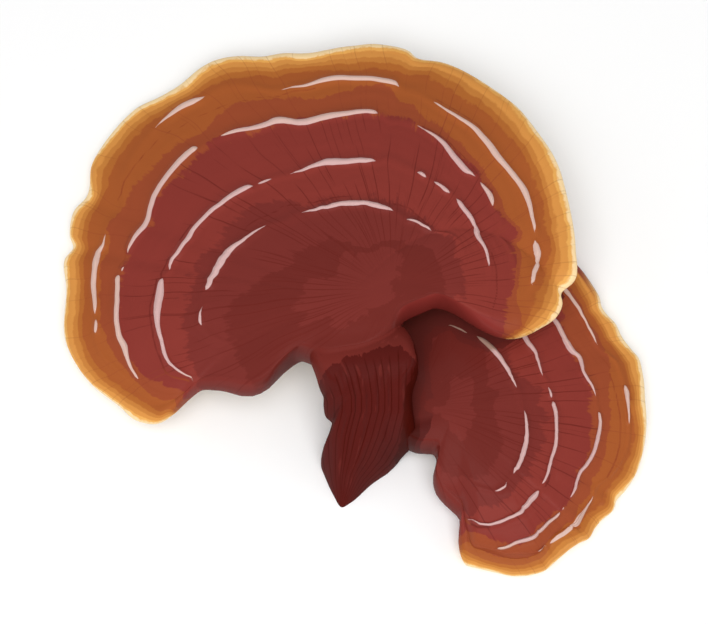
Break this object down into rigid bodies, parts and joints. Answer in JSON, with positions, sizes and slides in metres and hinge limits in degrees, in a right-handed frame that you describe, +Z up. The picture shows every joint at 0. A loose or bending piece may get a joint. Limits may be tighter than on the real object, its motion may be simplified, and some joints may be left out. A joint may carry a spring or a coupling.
{
  "type": "reishi mushroom",
  "caption": "Woody bracket mushroom with a broad fan-shaped lacquered cap, a smaller kidney-shaped cap tucked under it, and a short ridged side stalk cut off flat.",
  "frame": {"origin": "middle of the bounding box, on the surface that the mushroom lies on", "axes": "+Z up, +X to the right along the longest side, +Y to the back, away from the stalk's cut end"},
  "size_m": [0.1757, 0.1682, 0.0359],
  "materials": {
    "large_cap": "natural red-brown lacquer with an ochre and cream margin",
    "small_cap": "natural red-brown lacquer with an ochre and cream margin",
    "stem": "dark ridged lacquer"
  },
  "bodies": {
    "root": {"large_cap": "large_cap", "small_cap": "small_cap", "stem": "stem"}
  },
  "joints": []
}
